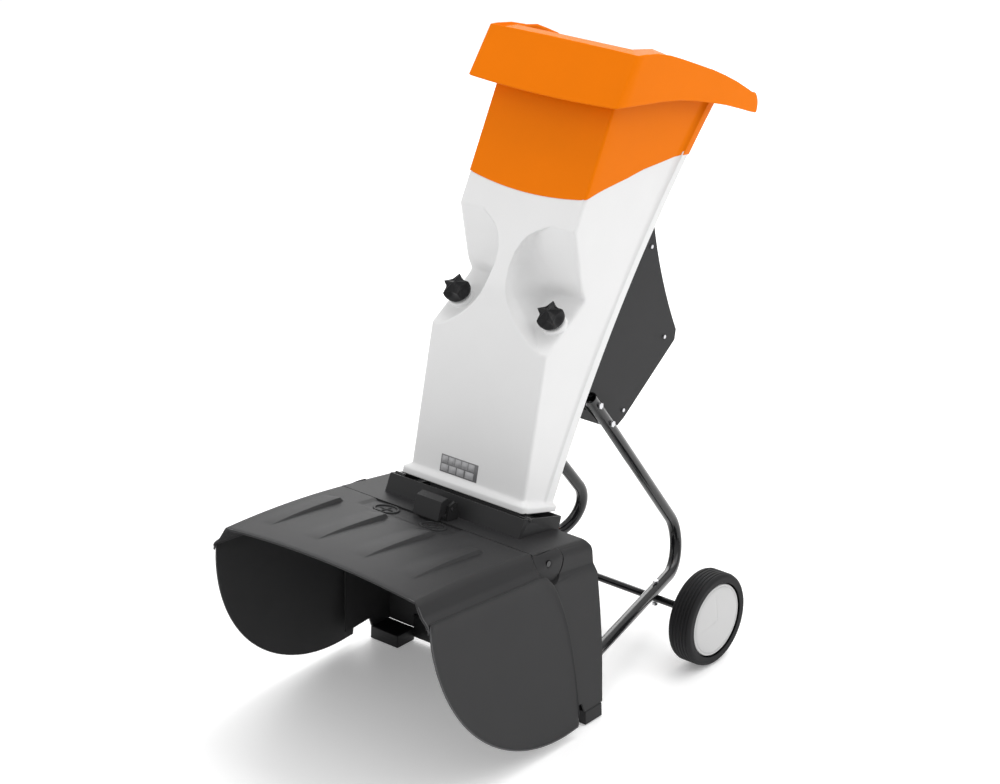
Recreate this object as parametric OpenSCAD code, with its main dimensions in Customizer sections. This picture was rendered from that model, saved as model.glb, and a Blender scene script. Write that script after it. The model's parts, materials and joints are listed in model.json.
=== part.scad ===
// Electric garden wood chipper on two wheels.
// Frame: +Z up, front (where the chips leave) towards -Y, wheels and user at +Y.
// The origin is on the ground, in the middle of the machine's box.

/* [Feed chute] */
// Half of the chute's width
chute_half_w = 147; // [145:1:149]
// Wall thickness of the moulded shells
wall = 4; // [3.5:0.5:4.5]
// Lean of the chute's lower front face from vertical, degrees
front_lean = 12.83; // [12.5:0.05:13.2]
// Lean of the chute's upper front face from vertical, degrees
front_lean_top = 27.5; // [27.2:0.1:27.8]
// Height of the joint between the lower shell and the hopper, at the front
hopper_z = 1029; // [1024:1:1034]
// Half of the width of the hopper's rim
rim_half_w = 187; // [184:1:190]

/* [Discharge box and flap] */
// Outer radius of the flap's side panels about the hinge
flap_r = 363; // [358:1:366]
// Distance from the hinge to the flap's front edge
flap_reach = 369; // [365:1:371]
// Half of the flap's width along its top edge
flap_top_half_w = 246; // [244:1:248]
// Radius of the flap's hinge pins
hinge_pin_r = 6; // [5:0.5:6]

/* [Wheels and frame] */
// Radius of the tyres
wheel_r = 100; // [98:0.5:101]
// Width of a tyre
wheel_w = 56; // [50:1:58]
// Outer face of the wheels, from the middle
wheel_out = 337; // [334:1:340]
// Distance of the axle behind the origin
axle_y = 266; // [262:1:270]
// Radius of the axle
axle_r = 8; // [7.5:0.5:8]
// Radius of the frame tubes
tube_r = 13; // [12:0.5:13]
// Bend radius of the frame tubes
tube_bend = 70; // [66:1:74]

/* [Cutting unit] */
// Radius of the blade disc
disc_r = 118; // [112:1:118]
// Radius of the motor shaft
shaft_r = 7.5; // [7:0.5:7.5]
// Radius of the motor's stator
stator_r = 58; // [54:1:58]

/* [Hidden] */
fine = 64;
mid = 32;
gap = 0.3;

charcoal = [0.17, 0.17, 0.18];
white = [0.88, 0.88, 0.87];
orange = [0.94, 0.47, 0.02];
black = [0.05, 0.05, 0.05];
steel = [0.70, 0.71, 0.73];
grey = [0.78, 0.78, 0.77];
copper = [0.62, 0.36, 0.18];

// Circle through three points, as n+1 points from the first to the last
function circle_centre(a, b, c) =
    let (d = 2 * (a[0] * (b[1] - c[1]) + b[0] * (c[1] - a[1]) + c[0] * (a[1] - b[1])))
    [((a * a) * (b[1] - c[1]) + (b * b) * (c[1] - a[1]) + (c * c) * (a[1] - b[1])) / d,
     ((a * a) * (c[0] - b[0]) + (b * b) * (a[0] - c[0]) + (c * c) * (b[0] - a[0])) / d];
function short_turn(t) = t > 180 ? t - 360 : (t < -180 ? t + 360 : t);
function arc3(a, b, c, n) =
    let (m = circle_centre(a, b, c), r = norm(a - m),
         t0 = atan2(a[1] - m[1], a[0] - m[0]),
         t1 = t0 + short_turn(atan2(b[1] - m[1], b[0] - m[0]) - t0),
         t2 = t1 + short_turn(atan2(c[1] - m[1], c[0] - m[0]) - t1))
    [for (i = [0:n]) m + r * [cos(t0 + (t2 - t0) * i / n), sin(t0 + (t2 - t0) * i / n)]];
function arc_about(m, r, t0, t1, n) = [for (i = [0:n]) m + r * [cos(t0 + (t1 - t0) * i / n), sin(t0 + (t1 - t0) * i / n)]];

// Side outline of the chute: the front is two straight leans, the rear is one long arc
knee = [-45, 847];
rear_m = [2453.2, -830.1];
rear_r = 2794.6;
function front_y(z) = knee[0] + (z - knee[1]) * tan(z < knee[1] ? front_lean : front_lean_top);
function rear_y(z) = rear_m[0] - sqrt(rear_r * rear_r - (z - rear_m[1]) * (z - rear_m[1]));
function rear_line(z0, z1, n, out = 0) = [for (i = [0:n]) let (z = z0 + (z1 - z0) * i / n) [rear_y(z) + out, z]];
hopper_rear_z = hopper_z + 11;
chute_bottom_z = 446;
chute_rear_bottom_z = 412;
housing_top_z = 905;

// The blade disc's shaft is square to the base plate at this point of the rear line
disc_z = 683.5;
disc_lean = asin((disc_z - rear_m[1]) / rear_r);

// Places and directions that several parts share
hinge = [-198.5, 382];
flap_slope = 4.54;
chute_pivot = [-148, 430];
knob_x = 120;
knob_at = [-23, 806];
knob_tilt = 57.6;
latch_x = [-48, 18];
latch_pivot = [-207, 430];
tube_top = [138, 84, 604];
tube_knee = [119, 473, 117];
tube_end = [267, -64, 127.3];
switch_at = [340, 785];
inlet_at = [374, 700];

// Extrudes a (y, z) outline along X, from x0 to x1
module along_x(x0, x1) {
    translate([x0, 0, 0]) rotate([90, 0, 90]) linear_extrude(x1 - x0) children();
}
// Extrudes an (x, z) outline along Y, from y0 to y1
module along_y(y0, y1) {
    translate([0, y1, 0]) rotate([90, 0, 0]) linear_extrude(y1 - y0) children();
}
// A round bar along X at (y, z)
module bar_x(at, r, x0, x1) {
    translate([x0, at[0], at[1]]) rotate([0, 90, 0]) cylinder(r = r, h = x1 - x0, $fn = fine);
}
module both_sides() {
    children();
    mirror([1, 0, 0]) children();
}
// Local Z runs along the motor shaft towards the rear, local Y runs down the plate
module on_shaft() {
    translate([0, rear_y(disc_z), disc_z]) rotate([-(90 + disc_lean), 0, 0]) children();
}
// Local Z runs out of a locking knob, towards the front
module on_knob(side) {
    translate([side * knob_x, knob_at[0], knob_at[1]]) rotate([90 - knob_tilt, 0, 0]) children();
}
// Local Z runs out of the motor housing's rear face at a (y, z) point, tilted up by lean
module on_rear_face(at, lean) {
    translate([0, at[0], at[1]]) rotate([-(90 - lean), 0, 0]) children();
}

// ---- Discharge box ----
box_side_top = 273;
box_side_slope = 0.046;
function box_side(z) = box_side_top + (hinge[1] - z) * box_side_slope;
box_top_front = [-231.5, 409.4];
box_top_rear = [-72, 384];
box_bottom_z = 30;

function box_outline(t) = concat(
    [box_top_front + [0, -t], box_top_rear + [-t, -t * 1.1]],
    arc3([-66 - t, 372 - t], [-55 - t, 246], [-51 - t, 152], 8),
    [[-55 - t, box_bottom_z], [-112, box_bottom_z], [-120, 52], [-200, 52], [-200, 340], [-228, 372]]);
function box_section(t) = concat(
    [[-box_side(-60) + t, -60], [box_side(-60) - t, -60], [box_side(345) - t, 345], [265 - t, 362]],
    arc_about([243, 387.4], 22 - t, 0, 90, 6), arc_about([-243, 387.4], 22 - t, 90, 180, 6),
    [[-265 + t, 362], [-box_side(345) + t, 345]]);
box_top_slope = 9.04;
// The side walls draw in towards the front, so that the flap's panels fold down past them
module side_limit(t) {
    translate([272.3 - t, hinge[0], hinge[1]]) rotate([0, -1.622, -4.58]) translate([-700, -500, -500]) cube([700, 1000, 1000]);
}
module box_solid(t) {
    intersection() {
        along_x(-300, 300) polygon(box_outline(t));
        translate([0, box_top_front[0], box_top_front[1]]) rotate([-box_top_slope, 0, 0])
            translate([0, -box_top_front[0], -box_top_front[1]]) along_y(-330, 90) polygon(box_section(t));
        side_limit(t);
        mirror([1, 0, 0]) side_limit(t);
    }
}
collar_top = [[-166, 437], [-51, 404]];
collar_foot = [[-184, 400], [-60, 376]];
module collar_block(front_in, side_in, drop) {
    along_x(-175 + side_in, 175 - side_in)
        polygon([collar_top[0] + [front_in, -drop], collar_top[1] + [-front_in, -drop],
                 collar_foot[1] + [-front_in, 0], collar_foot[0] + [front_in, 0]]);
}
module discharge_box() {
    color(charcoal) difference() {
        union() {
            difference() {
                box_solid(0);
                box_solid(wall);
            }
            collar_block(0, 0, 0);
            // ear plates that carry the hinge pins
            both_sides() along_x(236, 247) polygon([[-228, 400], [-150, 390], [-176, 364], [-220, 364]]);
            // sockets for the lower ends of the frame tubes
            both_sides() translate([246, -84, tube_end[2] - 19]) cube([36, 27, 38]);
        }
        // trough that takes the foot of the chute
        along_x(-170, 170) polygon([[-161.5, 450], [-161.5, 410], [-63, 392], [-55, 405], [-55, 430]]);
        // way down for the chips
        along_x(-150, 150) polygon([[-150, 440], [-150, 370], [-76, 370], [-72, 400]]);
        // room for the flap's ears
        both_sides() bar_x(hinge, 44, 249, 300);
        both_sides() bar_x(hinge, hinge_pin_r, 230, 249);
        // pin holes of the chute's pivot
        both_sides() bar_x(chute_pivot, 4, 165, 180);
        // bores of the tube sockets
        tube_path_cut();
    }
}
module foot(side) {
    color(black) mirror([side < 0 ? 1 : 0, 0, 0])
        along_y(-112, -58) polygon([[213, 0], [box_side(0), 0], [box_side(28.7), box_bottom_z - gap], [213, box_bottom_z - gap]]);
}
module foot_left() { foot(-1); }
module foot_right() { foot(1); }
module hinge_pins() {
    color(steel) both_sides() bar_x(hinge, hinge_pin_r, 234, 263);
}
module chute_pins() {
    color(steel) both_sides() bar_x(chute_pivot, 4, 150, 176);
}

// ---- Latch over the flap's rear edge ----
module latch_bracket() {
    color(charcoal) difference() {
        for (x = [[latch_x[0] - 7, latch_x[0] - 1], [latch_x[1] + 1, latch_x[1] + 7]])
            along_x(x[0], x[1]) polygon([[-222, 408.5], [-190, 403.5], [-190, 436], [-198, 442], [-214, 438]]);
        bar_x(latch_pivot, 3, latch_x[0] - 10, latch_x[1] + 10);
    }
}
module latch_pin() {
    color(steel) bar_x(latch_pivot, 3, latch_x[0] - 8, latch_x[1] + 8);
}
module latch_spring() {
    color(steel) difference() {
        bar_x(latch_pivot, 5.4, -10, 8);
        bar_x(latch_pivot, 4.2, -11, 9);
    }
}
module latch() {
    color(charcoal) difference() {
        along_x(latch_x[0], latch_x[1])
            polygon([[-230, 450], [-212, 453], [-200, 440], [-200, 424], [-216, 422], [-230, 420], [-239, 411.5], [-243, 414]]);
        bar_x(latch_pivot, 3.05, latch_x[0] - 1, latch_x[1] + 1);
        bar_x(latch_pivot, 7, -12, 10);
    }
}

// ---- Folding flap ----
// Drawn in a frame on the hinge with the top plate level, then sloped to its working place
flap_top = 24.7;
flap_seam = 36.8;
ridge = -12;
panel_top_half_w = 277;
panel_flare = 0.085;
skin = 3.5;
function panel_x(z) = panel_top_half_w - z * panel_flare;
flap_low = -372;
function flap_half(t) = [
    [0, flap_top - t], [flap_top_half_w - t * 0.8, flap_top - t], [258 - t, 6], [262.5 - t, 0], [263 - t, ridge + 4 - t],
    [panel_top_half_w - t, ridge - t], [panel_x(flap_low) - t, flap_low]];
module flap_section() {
    outer = flap_half(0);
    inner = flap_half(skin);
    n = len(outer);
    both_sides() polygon(concat(outer, [for (i = [0:n - 1]) inner[n - 1 - i]]));
}
// Corners of the panel's rear edge, which runs down along the box's side
panel_rear = [[-44, -5], [-6, -39], [12, -64], [33, -109], [51, -169], [63, -234], [72, -294]];
panel_rear_low = [74.5, -sqrt(flap_r * flap_r - 74.5 * 74.5)];
function panel_outline() = concat(
    [[-flap_reach, flap_top + 1], [-flap_seam, flap_top + 1]], panel_rear,
    arc_about([0, 0], flap_r, -90 + asin(panel_rear_low[0] / flap_r), -180 + 5, 16),
    [[-flap_reach, -16]]);
module on_flap() {
    translate([0, hinge[0], hinge[1]]) rotate([-flap_slope, 0, 0]) children();
}
module flap_shell() {
    color(charcoal) on_flap() {
        difference() {
            union() {
                intersection() {
                    along_y(-400, 100) flap_section();
                    union() {
                        along_x(-263, 263) polygon([[-flap_reach, 40], [-flap_seam, 40], [-flap_seam, -50], [-flap_reach, -50]]);
                        both_sides() along_x(250.5, 263.1) {
                            circle(r = 42, $fn = fine);
                            polygon([[-flap_reach, 40], [-flap_seam + 1, 40], [-flap_seam + 1, -60], [-flap_reach, -60]]);
                        }
                        both_sides() along_x(250.5, 320) polygon(panel_outline());
                    }
                }
                // ears on the hinge pins
                both_sides() along_x(250.5, 259) intersection() {
                    circle(r = 40, $fn = fine);
                    translate([-60, -60]) square([120, 66]);
                }
                // raised wedges along the top plate
                for (x = [-182, -60, 60, 182]) along_x(x - 14, x + 14)
                    polygon([[-300, flap_top - 1], [-104, flap_top - 1], [-104, flap_top + 5], [-112, flap_top + 5]]);
            }
            both_sides() bar_x([0, 0], hinge_pin_r + 0.05, 248, 266);
            both_sides() bar_x([0, 0], 6.5, 259.2, 266);
        }
    }
}

// ---- Frame, axle and wheels ----
function unit(v) = v / norm(v);
tube_a = unit(tube_top - tube_knee);
tube_b = unit(tube_end - tube_knee);
tube_turn = 180 - acos(tube_a * tube_b);
tube_tangent = tube_bend * tan(tube_turn / 2);
tube_normal = unit(cross(-tube_a, tube_b));
// Puts local Z on direction w and local X on direction u, at point p
module on_axes(p, u, w) {
    v = cross(w, u);
    multmatrix([[u[0], v[0], w[0], p[0]], [u[1], v[1], w[1], p[1]], [u[2], v[2], w[2], p[2]]]) children();
}
tube_wall = 1.8;
module pipe(r, h) {
    difference() {
        cylinder(r = r, h = h, $fn = fine);
        translate([0, 0, -1]) cylinder(r = r - tube_wall, h = h + 2, $fn = fine);
    }
}
module tube_solid(r) {
    from = tube_knee + tube_a * tube_tangent;
    to = tube_knee + tube_b * tube_tangent;
    on_axes(from - tube_a * 0.5, tube_normal, tube_a) pipe(r, norm(tube_top - from) + 0.5);
    on_axes(to - tube_b * 0.5, tube_normal, tube_b) pipe(r, norm(tube_end - to) + 0.5);
    // the bend turns about a centre on the inner side
    inward = unit(tube_a + tube_b);
    centre = tube_knee + inward * (tube_bend / cos(tube_turn / 2));
    on_axes(centre, unit(from - centre), tube_normal) rotate_extrude(angle = tube_turn, $fn = 2 * fine)
        translate([tube_bend, 0]) difference() {
            circle(r = r - 0.1, $fn = fine);
            circle(r = r - tube_wall + 0.1, $fn = fine);
        }
}
module tube_path_cut() {
    both_sides() on_axes(tube_end, tube_normal, -tube_b) cylinder(r = tube_r, h = 60, $fn = fine);
}
module frame_tube() {
    color(black) difference() {
        tube_solid(tube_r);
        // drilled for the bolts at the motor housing and at the axle
        for (z = frame_bolt_z) bar_x(tube_point(z), 4, 90, 190);
        translate([axle_cross[0], axle_cross[1], 80]) cylinder(r = 3, h = 80, $fn = mid);
    }
}
// Point of the upper leg at height z, as (y, z), and its x
function tube_t(z) = (z - tube_knee[2]) / (tube_top[2] - tube_knee[2]);
function tube_point(z) = let (p = tube_knee + (tube_top - tube_knee) * tube_t(z)) [p[1], p[2]];
function tube_x(z) = (tube_knee + (tube_top - tube_knee) * tube_t(z))[0];
frame_bolt_z = [586, 532];
// Where the lower leg passes over the axle
cross_t = (tube_knee[1] - axle_y) / (tube_knee[1] - tube_end[1]);
axle_cross = tube_knee + (tube_end - tube_knee) * cross_t;
module frame_tube_left() { mirror([1, 0, 0]) frame_tube(); }
module frame_tube_right() { frame_tube(); }
housing_half_w = 120;
module frame_bolts() {
    color(steel) both_sides() for (z = frame_bolt_z) {
        bar_x(tube_point(z), 4, housing_half_w - wall - 6, tube_x(z) + tube_r + 0.5);
        translate([tube_x(z) + tube_r + 0.5, tube_point(z)[0], z]) rotate([0, 90, 0]) cylinder(r = 7, h = 5, $fn = 6);
        difference() {
            bar_x(tube_point(z), 9, housing_half_w + gap, tube_x(z) - tube_r - gap);
            bar_x(tube_point(z), 4, housing_half_w, tube_x(z));
        }
    }
}
module axle() {
    color(black) difference() {
        bar_x([axle_y, wheel_r], axle_r, -wheel_out + 8, wheel_out - 8);
        for (s = [-1, 1]) translate([s * axle_cross[0], axle_y, 60]) cylinder(r = 3, h = 80, $fn = mid);
    }
}
module axle_bolts() {
    color(steel) both_sides() translate([axle_cross[0], axle_y, 0]) {
        translate([0, 0, 87]) cylinder(r = 3, h = 52, $fn = mid);
        translate([0, 0, 136]) cylinder(r = 6.5, h = 5, $fn = 6);
        translate([0, 0, 84]) cylinder(r = 6.5, h = 6, $fn = 6);
    }
}
module axle_clips() {
    color(steel) both_sides() for (x = [wheel_out - wheel_w - 8, wheel_out - 12]) difference() {
        bar_x([axle_y, wheel_r], 13, x, x + 2.5);
        bar_x([axle_y, wheel_r], axle_r, x - 1, x + 4);
    }
}
module tyre(side) {
    color(black) mirror([side < 0 ? 1 : 0, 0, 0]) translate([wheel_out - wheel_w, axle_y, wheel_r]) rotate([0, 90, 0])
        rotate_extrude($fn = 2 * fine) difference() {
            polygon(concat([[80, 0], [92, 0]], arc_about([92, 8], 8, -90, 0, 4), [for (i = [0:4]) each
                [[wheel_r, 9 + i * 8], [wheel_r, 13.4 + i * 8], [wheel_r - 2, 14 + i * 8], [wheel_r - 2, 16.4 + i * 8]]],
                arc_about([92, wheel_w - 8], 8, 0, 90, 4), [[80, wheel_w]]));
        }
}
module rim(side) {
    color(black) mirror([side < 0 ? 1 : 0, 0, 0]) translate([wheel_out - wheel_w, axle_y, wheel_r]) rotate([0, 90, 0])
        rotate_extrude($fn = 2 * fine)
            polygon([[axle_r + 0.08, -4], [16, -4], [16, 20], [72, 24], [72, 4], [80, 4], [80, wheel_w - 12], [74, wheel_w - 12],
                     [72, 32], [16, 28], [16, wheel_w - 16], [axle_r + 0.08, wheel_w - 16]]);
}
module hub_cap(side) {
    color(grey) mirror([side < 0 ? 1 : 0, 0, 0]) translate([wheel_out - wheel_w, axle_y, wheel_r]) rotate([0, 90, 0])
        rotate_extrude($fn = 2 * fine)
            polygon(concat([[0, wheel_w - 3], [70, wheel_w - 7], [70, wheel_w - 12], [77.5, wheel_w - 12]],
                arc3([77.5, wheel_w - 3.5], [40, wheel_w - 0.93], [0, wheel_w], 5)));
}
module tyre_left() { tyre(-1); }
module tyre_right() { tyre(1); }
module rim_left() { rim(-1); }
module rim_right() { rim(1); }
module hub_cap_left() { hub_cap(-1); }
module hub_cap_right() { hub_cap(1); }

// ---- Base plate, motor housing and drive ----
plate_t = 5;
module base_plate() {
    color(charcoal) difference() {
        along_x(-141, 141) polygon(concat(rear_line(410, housing_top_z - 4, 10, -0.5), rear_line(housing_top_z - 4, 410, 10, -0.5 - plate_t)));
        on_shaft() translate([0, 0, -20]) cylinder(r = 24, h = 40, $fn = fine);
    }
    // cheeks that stiffen the plate and carry it on the collar
    color(charcoal) both_sides() along_x(128, 134) polygon(concat(
        rear_line(424, 620, 4, -6), [[rear_y(620) - 34, 610], [rear_y(424) - 22, 424]]));
}
module knob_posts() {
    color(charcoal) both_sides() difference() {
        union() {
            intersection() {
                along_x(124, 137) polygon([[10, 738], [24, 757], [140, 684], [120, 656]]);
                along_x(100, 150) polygon(concat(rear_line(560, 880, 6, -0.6 - plate_t), [[-100, 880], [-100, 560]]));
            }
            on_knob(1) translate([-14, -10, -80]) cube([31, 26, 6]);
        }
        // the fork is open to the front, so that a loosened bolt swings out of it
        on_knob(1) translate([0, 0, -90]) cylinder(r = 4.15, h = 30, $fn = fine);
        on_knob(1) translate([-4.15, -30, -90]) cube([8.3, 30, 30]);
    }
}
housing_rear = arc3([309, 905], [340, 785], [392, 654], 8);
function housing_outline() = concat(
    rear_line(930, 612, 6, gap), [[140, 522], [198, 501], [219, 511], [388, 632]], [for (i = [0:8]) housing_rear[8 - i]]);
function housing_cavity(t) = concat(
    rear_line(918, 612, 6, -4), [[139, 527], [198 - t * 0.3, 501 + t * 1.2], [219 - t * 0.6, 511 + t], [388 - t, 632 + t * 0.3]],
    [for (i = [0:7]) housing_rear[8 - i] - [t, t * 0.33]], [[306, 899]]);
module motor_housing() {
    color(charcoal) difference() {
        along_x(-housing_half_w, housing_half_w) polygon(housing_outline());
        along_x(-housing_half_w + wall, housing_half_w - wall) polygon(housing_cavity(wall));
        // cooling slots low on the rear
        for (i = [-4:4]) translate([i * 18 - 4, 250, 470]) cube([8, 90, 90]);
        // tube bolts, switch and inlet
        for (z = frame_bolt_z) bar_x(tube_point(z), 4, -140, 140);
        on_rear_face(switch_at, 18) translate([-24, -17, -20]) cube([48, 34, 40]);
        on_rear_face(inlet_at, 22) translate([0, 0, -20]) cylinder(r = 21, h = 40, $fn = fine);
    }
}
module housing_screws() {
    color(steel) both_sides() for (at = [[300, 860], [350, 650], [215, 530]])
        bar_x(at, 4, housing_half_w + 0.2, housing_half_w + 3);
}
module motor_bracket_front() {
    color(steel) on_shaft() difference() {
        translate([0, 0, 1]) cylinder(r = stator_r, h = 19, $fn = fine);
        translate([0, 0, 8]) cylinder(r = 17.5, h = 11.1, $fn = fine);
        translate([0, 0, -1]) cylinder(r = 11, h = 30, $fn = fine);
        translate([0, 0, 19.05]) cylinder(r = stator_r - 8, h = 5, $fn = fine);
    }
}
module motor_stator() {
    color(copper) on_shaft() difference() {
        translate([0, 0, 20.2]) cylinder(r = stator_r, h = 86, $fn = fine);
        translate([0, 0, 20]) cylinder(r = 35, h = 90, $fn = fine);
    }
}
module motor_bracket_rear() {
    color(steel) on_shaft() difference() {
        translate([0, 0, 106.4]) cylinder(r = stator_r, h = 18, $fn = fine);
        translate([0, 0, 106]) cylinder(r = 17.5, h = 13, $fn = fine);
        translate([0, 0, 100]) cylinder(r = 11, h = 30, $fn = fine);
    }
}
module ball_bearing(z) {
    color(steel) on_shaft() translate([0, 0, z]) difference() {
        cylinder(r = 17.5, h = 11, $fn = fine);
        translate([0, 0, -1]) cylinder(r = shaft_r + 0.05, h = 13, $fn = fine);
    }
}
module bearing_front() { ball_bearing(8); }
module bearing_rear() { ball_bearing(108); }
module capacitor() {
    color(grey) bar_x([298, 735], 18, -40, 40);
}
module switch_box() {
    color(black) on_rear_face(switch_at, 18) difference() {
        translate([-30, -23, 2.2]) cube([60, 46, 12]);
        for (x = [-13, 13]) translate([x, 0, -1]) cylinder(r = 9.3, h = 20, $fn = fine);
    }
    color(black) on_rear_face(switch_at, 18) translate([-23, -16, -18]) cube([46, 32, 16]);
}
module button(x) {
    on_rear_face(switch_at, 18) translate([x, 0, 4]) cylinder(r = 9, h = 12, $fn = fine);
}
module button_on() { color("green") button(13); }
module button_off() { color("red") button(-13); }
module power_inlet() {
    color(black) on_rear_face(inlet_at, 22) difference() {
        translate([0, 0, -16]) union() {
            cylinder(r = 20.7, h = 34, $fn = fine);
            translate([0, 0, 19.5]) cylinder(r = 25, h = 3, $fn = fine);
        }
        translate([0, 0, -8]) cylinder(r = 17.5, h = 40, $fn = fine);
    }
}
module inlet_pins() {
    color(steel) on_rear_face(inlet_at, 22) for (a = [90, 210, 330])
        rotate([0, 0, a]) translate([8, 0, -8]) cylinder(r = 2.4, h = 20, $fn = mid);
}
// The shaft turns in the bearings and carries the disc, rotor and fan
module motor_shaft() {
    color(steel) on_shaft() {
        translate([0, 0, -42]) cylinder(r = shaft_r, h = 187, $fn = fine);
        translate([0, 0, -20]) cylinder(r = 10, h = 27, $fn = fine);
    }
}
module rotor_core() {
    color(steel) on_shaft() difference() {
        translate([0, 0, 26]) cylinder(r = 34.3, h = 74, $fn = fine);
        translate([0, 0, 20]) cylinder(r = shaft_r, h = 90, $fn = fine);
    }
}
fan_z = 128;
module cooling_fan() {
    color(orange) on_shaft() difference() {
        union() {
            translate([0, 0, fan_z]) cylinder(r = 48, h = 2.5, $fn = fine);
            translate([0, 0, fan_z]) cylinder(r = 13, h = 14, $fn = fine);
            for (a = [0:45:315]) rotate([0, 0, a]) translate([12, -1.2, fan_z]) cube([35, 2.4, 13]);
        }
        translate([0, 0, fan_z - 1]) cylinder(r = shaft_r, h = 20, $fn = fine);
    }
}
disc_z0 = -28;
disc_t = 8;
module blade_disc() {
    color(steel) on_shaft() difference() {
        translate([0, 0, disc_z0]) cylinder(r = disc_r, h = disc_t, $fn = 2 * fine);
        translate([0, 0, disc_z0 - 1]) cylinder(r = shaft_r, h = disc_t + 2, $fn = fine);
        // slots that pass the chips behind each blade
        for (a = [0, 180]) rotate([0, 0, a]) translate([32, 8, disc_z0 - 1]) cube([66, 12, disc_t + 2]);
        for (a = [0, 180], x = [45, 85]) rotate([0, 0, a]) translate([x, -6, disc_z0 - 1]) cylinder(r = 3, h = disc_t + 2, $fn = mid);
    }
    // paddles on the rim throw the chips down
    color(steel) on_shaft() for (a = [45:90:315]) rotate([0, 0, a]) translate([70, -2, disc_z0 + disc_t]) cube([40, 4, 12]);
}
module blades() {
    color([0.8, 0.8, 0.82]) on_shaft() for (a = [0, 180]) rotate([0, 0, a]) difference() {
        translate([0, 0, disc_z0 - 4]) linear_extrude(4) polygon([[30, -16], [100, -16], [100, 4], [96, 8], [34, 8], [30, 4]]);
        for (x = [45, 85]) translate([x, -6, disc_z0 - 5]) cylinder(r = 3, h = 6, $fn = mid);
    }
}
module blade_screws() {
    color([0.4, 0.4, 0.42]) on_shaft() for (a = [0, 180], x = [45, 85]) rotate([0, 0, a]) translate([x, -6, disc_z0 - 6.5]) {
        cylinder(r = 3, h = disc_t + 6, $fn = mid);
        cylinder(r = 5.5, h = 2.5, $fn = mid);
    }
}
module disc_nut() {
    color([0.4, 0.4, 0.42]) on_shaft() translate([0, 0, disc_z0 - 10]) difference() {
        cylinder(r = 14, h = 10, $fn = 6);
        translate([0, 0, -1]) cylinder(r = shaft_r, h = 12, $fn = fine);
    }
}
knife_z = -41;
module counter_knife() {
    color(steel) on_shaft() difference() {
        union() {
            translate([-44, -38, knife_z]) cube([130, 18, 6]);
            translate([72, -134, knife_z]) cube([14, 97, 6]);
            translate([72, -134, knife_z]) cube([14, 10, -knife_z - 2.2]);
        }
        for (x = [-30, 40]) translate([x, -29, knife_z - 1]) cylinder(r = 3, h = 8, $fn = mid);
    }
}
module counter_knife_screws() {
    color([0.4, 0.4, 0.42]) on_shaft() for (x = [-30, 40]) translate([x, -29, knife_z]) {
        cylinder(r = 3, h = 5.5, $fn = mid);
        translate([0, 0, -3]) cylinder(r = 5.5, h = 3, $fn = mid);
    }
}

// ---- Tilting feed chute ----
// Recess for a locking knob: a sloping floor seen from the side, an egg shape seen from the front
scoop_low = 741;
scoop_top = 969;
scoop_deep = [[47, 834], [51, 827], [51.5, 821], [49, 816]];
scoop_egg = [[165, 969], [84, 970], [55, 956], [38, 940], [26, 924], [19, 905], [16, 884], [18, 866], [24, 848],
             [34, 826], [47, 805], [62, 787], [84, 768], [112, 750], [138, 741], [165, 735]];
module scoop(t) {
    start = [front_y(scoop_top), scoop_top];
    end = [front_y(scoop_low), scoop_low];
    both_sides() intersection() {
        translate([0, t, 0]) along_x(5, 160) polygon(concat([start + (start - scoop_deep[0]) * 0.5], scoop_deep,
            [end + (end - scoop_deep[3]) * 0.5, [-250, 690], [-250, 1040]]));
        along_y(-240, 110) offset(delta = t) polygon(scoop_egg);
    }
}
function shell_outline() = concat(
    [[front_y(chute_bottom_z), chute_bottom_z], knee, [front_y(hopper_z), hopper_z]],
    rear_line(hopper_rear_z, chute_rear_bottom_z, 10));
function shell_cavity() = concat(
    [[front_y(380) + wall, 380], knee + [wall, 0], [front_y(1070) + wall, 1070]],
    rear_line(1060, housing_top_z, 3, -wall), rear_line(housing_top_z, 380, 8, 12));
module chute_shell() {
    color(white) difference() {
        union() {
            along_x(-chute_half_w, chute_half_w) polygon(shell_outline());
            // flared foot that sits in the collar
            along_x(-161, 161) polygon([[-137, 457], [-150, 447], [-153, 438], [-72, 412], [-66, 424], [-84, 446]]);
            // lugs that turn on the pivot pins
            both_sides() along_x(153, 161) {
                translate(chute_pivot) circle(r = 8, $fn = fine);
                translate(chute_pivot) square([14, 8]);
            }
            // stiffening band along the rear edges
            both_sides() along_x(chute_half_w - 2, chute_half_w + 3)
                polygon(concat(rear_line(424, hopper_rear_z - 1, 8, -0.7), rear_line(hopper_rear_z - 3, 424, 8, -27)));
        }
        difference() {
            along_x(-chute_half_w + wall, chute_half_w - wall) polygon(shell_cavity());
            scoop(wall);
        }
        scoop(0);
        both_sides() bar_x(chute_pivot, 4.05, 150, 165);
        for (s = [-1, 1]) on_knob(s) translate([0, 0, -90]) cylinder(r = 22.4, h = 90, $fn = fine);
    }
}
module knob_boss(side) {
    color(white) on_knob(side) difference() {
        union() {
            translate([0, 0, -66]) cylinder(r = 22, h = 45.2, $fn = fine);
            translate([0, 0, -66]) cylinder(r = 22.4, h = 36, $fn = fine);
        }
        translate([0, 0, -67]) cylinder(r = 4.6, h = 60, $fn = fine);
        translate([0, 0, -62]) cylinder(r = 18, h = 34, $fn = fine);
    }
    color(white) on_knob(side) difference() {
        translate([0, 0, -62]) cylinder(r = 8, h = 34.5, $fn = fine);
        translate([0, 0, -63]) cylinder(r = 4.6, h = 60, $fn = fine);
    }
}
module knob_boss_left() { knob_boss(-1); }
module knob_boss_right() { knob_boss(1); }
module feed_duct_form(t, low) {
    hull() {
        translate([-138 + t, 62 + t, 1018]) cube([276 - 2 * t, 264 - 2 * t, 2 + low]);
        on_shaft() translate([-44 + t, -90 + t, knife_z - 3 - low]) cube([88 - 2 * t, 50 - 2 * t, 1 + 2 * low]);
    }
}
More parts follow.
